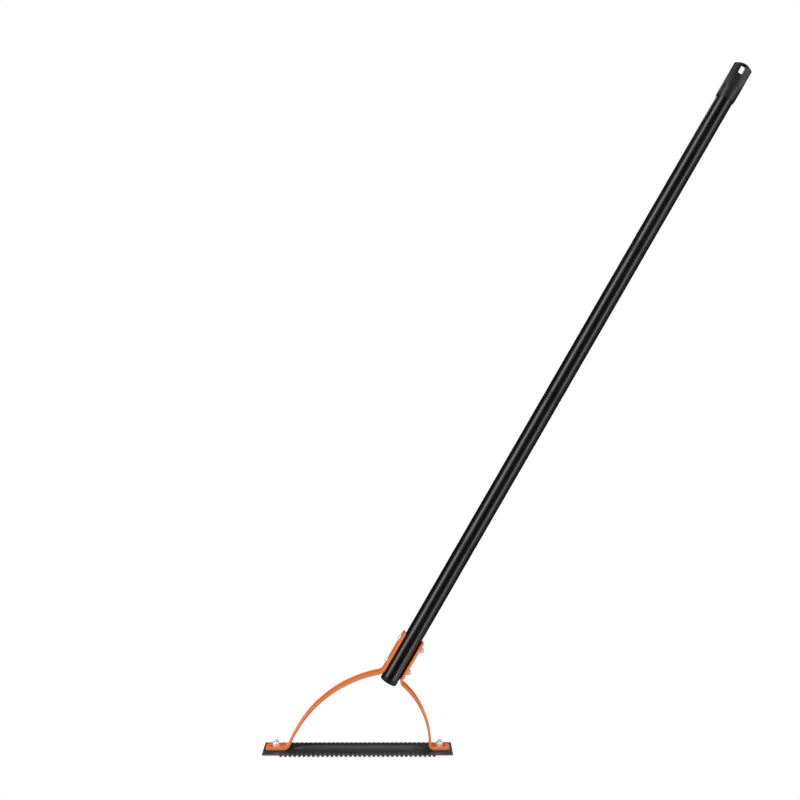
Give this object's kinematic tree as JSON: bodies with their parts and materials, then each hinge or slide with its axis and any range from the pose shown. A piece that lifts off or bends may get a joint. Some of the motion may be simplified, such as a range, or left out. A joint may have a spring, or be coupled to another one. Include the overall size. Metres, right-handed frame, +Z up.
{
  "type": "grass whip",
  "caption": "Long-handled grass whip: a toothed double-edged blade under a bent strap yoke, bolted to a straight sectional tube handle with a hang cap.",
  "frame": {"origin": "middle of the blade's keel, on its underside", "axes": "+X along the blade, towards the side the handle leans to; +Y across the blade; +Z up from the blade"},
  "size_m": [0.7898, 0.058, 1.1156],
  "materials": {
    "arm_paint": "smooth orange powder coat",
    "tube_paint": "satin black coating",
    "moulding": "matte black moulding",
    "cap_moulding": "matte black moulding",
    "blade_steel": "dark hardened steel with ground flutes",
    "zinc_plate": "bright zinc plate"
  },
  "bodies": {
    "root": {"blade": "blade_steel", "left_arm": "arm_paint", "right_arm": "arm_paint", "blade_bolt_left": "zinc_plate", "blade_bolt_right": "zinc_plate", "blade_washer_left": "zinc_plate", "blade_washer_right": "zinc_plate", "blade_nut_left": "zinc_plate", "blade_nut_right": "zinc_plate", "clamp_bolt_lower": "zinc_plate", "clamp_bolt_upper": "zinc_plate", "clamp_washer_lower": "zinc_plate", "clamp_washer_upper": "zinc_plate", "clamp_nut_lower": "zinc_plate", "clamp_nut_upper": "zinc_plate", "lower_tube": "tube_paint", "lower_middle_tube": "tube_paint", "upper_middle_tube": "tube_paint", "top_tube": "tube_paint", "end_plug": "moulding", "joint_1_collar": "moulding", "joint_1_socket": "moulding", "joint_2_collar": "moulding", "joint_2_socket": "moulding", "joint_3_collar": "moulding", "joint_3_socket": "moulding", "hang_cap": "cap_moulding"}
  },
  "joints": []
}
